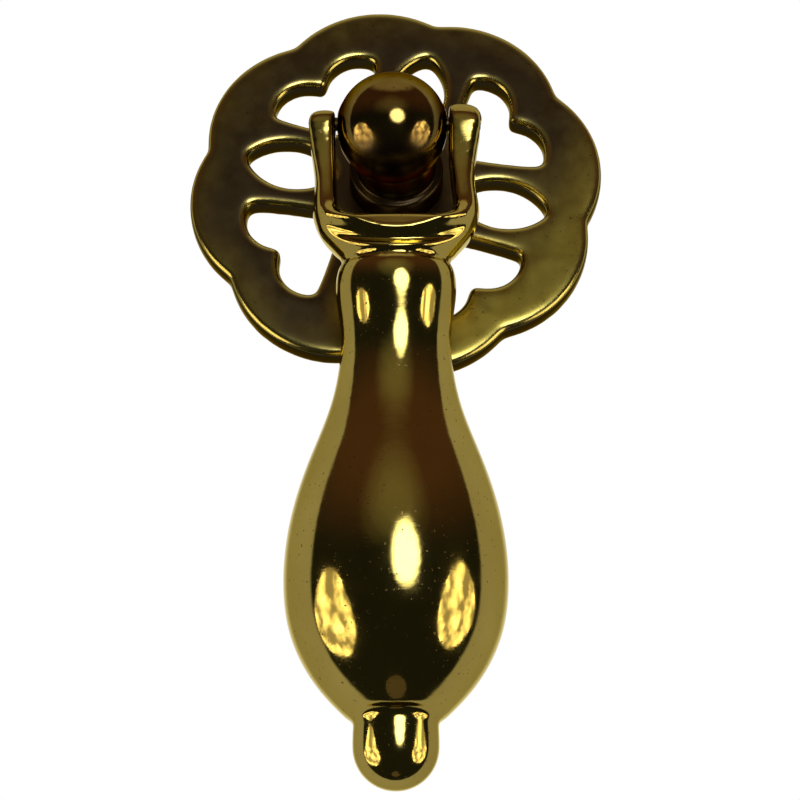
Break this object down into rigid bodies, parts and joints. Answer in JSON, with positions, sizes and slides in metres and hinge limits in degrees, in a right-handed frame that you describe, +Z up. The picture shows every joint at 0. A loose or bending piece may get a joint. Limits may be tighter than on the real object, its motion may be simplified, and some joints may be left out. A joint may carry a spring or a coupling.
{
  "type": "drop pull",
  "caption": "Brass pear-shaped drop pull hinged in a fork on a ball-headed post, with a pierced round rosette backplate for a drawer or cupboard door.",
  "frame": {"origin": "centre of the backplate's back face, at the mouth of the tapped hole in the post", "axes": "+Y into the drawer front, along the fixing screw; the front faces -Y; +Z up; +X to the right seen from the front"},
  "size_m": [0.0378, 0.0248, 0.0746],
  "materials": {
    "plate_brass": "satin, brushed and tarnished olive brown",
    "post_bronze": "polished, darkened brown",
    "drop_brass": "polished, lightly aged yellow brass",
    "pin_brass": "dull, riveted ends"
  },
  "bodies": {
    "base": {"backplate": "plate_brass", "post": "post_bronze"},
    "drop": {"drop": "drop_brass", "hinge_pin": "pin_brass"}
  },
  "joints": [
    {"name": "drop_swing", "type": "hinge", "parent": "base", "child": "drop", "pos_m": [0, -0.01245, 0], "axis": [-1, 0, 0], "range_deg": [0, 210]}
  ]
}
